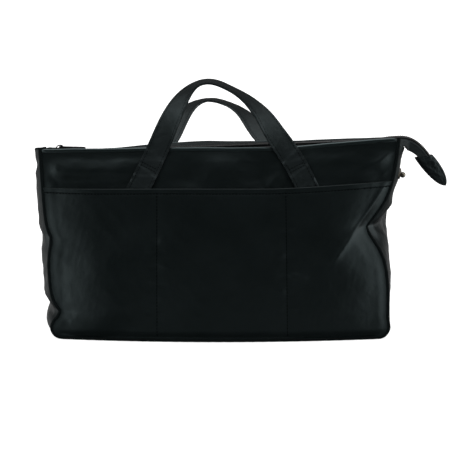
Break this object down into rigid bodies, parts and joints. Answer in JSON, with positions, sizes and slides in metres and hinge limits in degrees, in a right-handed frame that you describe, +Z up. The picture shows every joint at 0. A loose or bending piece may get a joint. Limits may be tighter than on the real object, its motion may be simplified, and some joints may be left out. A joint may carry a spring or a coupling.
{
  "type": "toiletry bag",
  "caption": "Soft wash bag that stands on a flat base, with a zipped mouth, a hanging zip end, twisted strap handles, patch pockets and a snap stud at its right side.",
  "frame": {"origin": "middle of the base's underside, on the surface that the bag stands on", "axes": "+X along the bag to the end where the zip hangs out, +Y to the back panel, +Z up"},
  "size_m": [0.3867, 0.1682, 0.2332],
  "materials": {
    "nylon": "smooth near-black woven nylon with a soft sheen",
    "lining": "thin dark grey lining cloth",
    "zip_tape": "matt black woven tape",
    "zip_coil": "black nylon coil",
    "board": "stiff dark sheet inside the base",
    "zip_metal": "dark lacquered slider, pull and stops",
    "snap_metal": "dull antique brass snap"
  },
  "bodies": {
    "bag": {"front_panel": "nylon", "back_panel": "nylon", "lining_front": "lining", "lining_back": "lining", "lining_left": "lining", "lining_right": "lining", "lining_base": "lining", "front_pocket": "nylon", "back_pocket": "nylon", "left_gusset": "nylon", "right_gusset": "nylon", "base_panel": "nylon", "base_board": "board", "front_welt": "nylon", "back_welt": "nylon", "front_rim_hem": "nylon", "back_rim_hem": "nylon", "left_rim_hem": "nylon", "right_rim_hem": "nylon", "zip_tape_front": "zip_tape", "zip_tape_back": "zip_tape", "zip_coil_front": "zip_coil", "zip_coil_back": "zip_coil", "zip_end_tape": "zip_tape", "zip_end_coil": "zip_coil", "zip_stop_front": "zip_metal", "zip_stop_back": "zip_metal", "front_handle_end_left": "nylon", "front_handle_end_right": "nylon", "back_handle_end_left": "nylon", "back_handle_end_right": "nylon", "right_snap_stud": "snap_metal", "right_snap_stud_cap": "snap_metal", "right_snap_socket": "snap_metal", "right_snap_socket_cap": "snap_metal"},
    "front_handle": {"front_handle_loop": "nylon"},
    "back_handle": {"back_handle_loop": "nylon"},
    "slider": {"zip_slider": "zip_metal"},
    "pull": {"zip_pull": "zip_metal"},
    "tail": {"zip_tail_tape": "zip_tape", "zip_tail_coil": "zip_coil", "zip_end_tab": "nylon"}
  },
  "joints": [
    {"name": "front_handle_swing", "type": "hinge", "parent": "bag", "child": "front_handle", "pos_m": [0, -0.02939, 0.15384], "axis": [1, 0, 0], "range_deg": [0, 150]},
    {"name": "back_handle_swing", "type": "hinge", "parent": "bag", "child": "back_handle", "pos_m": [0, 0.02939, 0.15384], "axis": [-1, 0, 0], "range_deg": [-56, 76]},
    {"name": "slider_travel", "type": "slide", "parent": "bag", "child": "slider", "axis": [0.9993, 0, 0.0367], "range_m": [0, 0.255], "deforming": ["zip_tape_front", "zip_tape_back", "zip_coil_front", "zip_coil_back"]},
    {"name": "pull_swing", "type": "hinge", "parent": "slider", "child": "pull", "pos_m": [-0.149, 0, 0.17003], "axis": [0, -1, 0], "range_deg": [0, 165]},
    {"name": "tail_swing", "type": "hinge", "parent": "bag", "child": "tail", "pos_m": [0.16815, 0, 0.1814], "axis": [0, -1, 0], "range_deg": [0, 75]}
  ]
}
